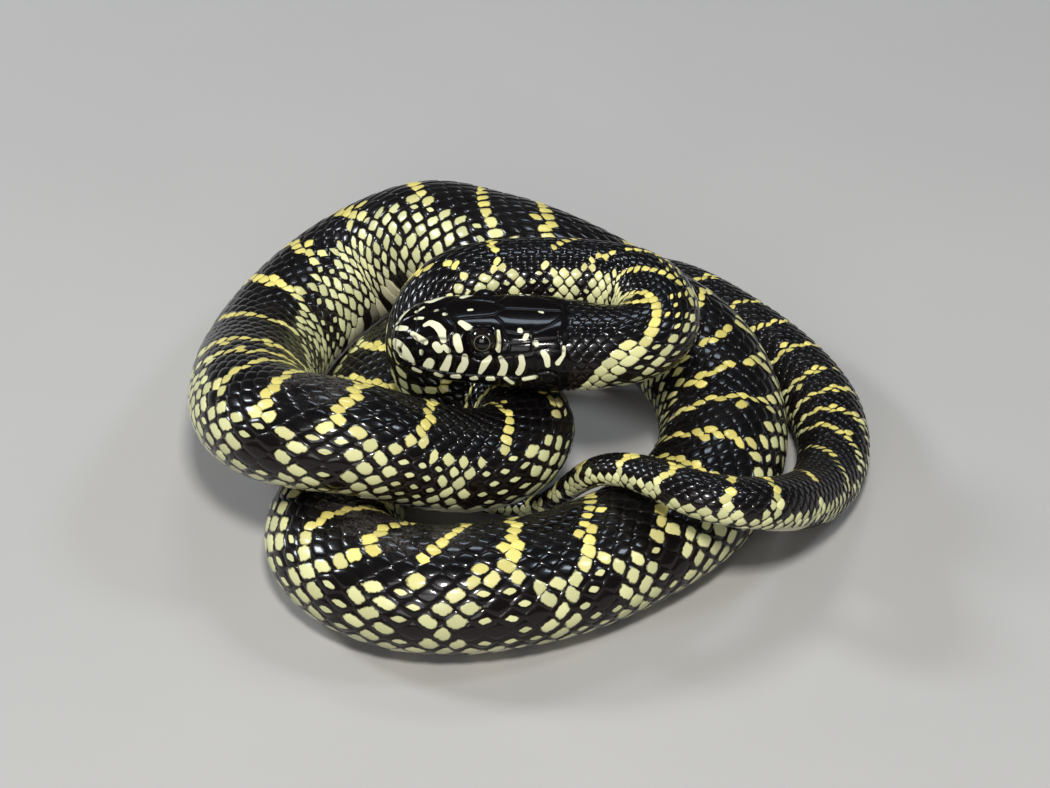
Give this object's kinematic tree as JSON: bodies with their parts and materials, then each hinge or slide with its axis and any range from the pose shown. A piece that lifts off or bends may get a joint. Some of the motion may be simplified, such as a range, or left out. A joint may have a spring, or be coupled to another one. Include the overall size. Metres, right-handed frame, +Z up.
{
  "type": "coiled desert kingsnake, still life-size model",
  "caption": "A black and yellow kingsnake lying coiled on itself, its head resting on the coils: a still life-size model that rests on its belly.",
  "frame": {"origin": "middle of the footprint's box on the floor, under the coils", "axes": "+Z up from the floor; +X from the snout towards the back of the head; +Y from the front of the coil to its back, so -Y faces the viewer"},
  "size_m": [0.103, 0.0978, 0.0359],
  "materials": {
    "skin": "smooth glossy scales, black with lemon-yellow cross bars and cream-spotted flanks",
    "eye": "wet gloss, round black pupil in a black-brown iris"
  },
  "bodies": {
    "root": {"head": "skin", "lower_jaw": "skin", "eye_left": "eye", "eye_right": "eye", "neck": "skin", "fore_loop": "skin", "fore_turn": "skin", "upper_coil_front": "skin", "upper_coil_left": "skin", "upper_coil_back": "skin", "upper_coil_crossing": "skin", "upper_coil_right": "skin", "lower_coil_front": "skin", "lower_coil_turn": "skin", "hidden_run": "skin", "outer_coil_back": "skin", "outer_coil_right": "skin", "tail_base": "skin", "tail_tip": "skin"}
  },
  "joints": []
}
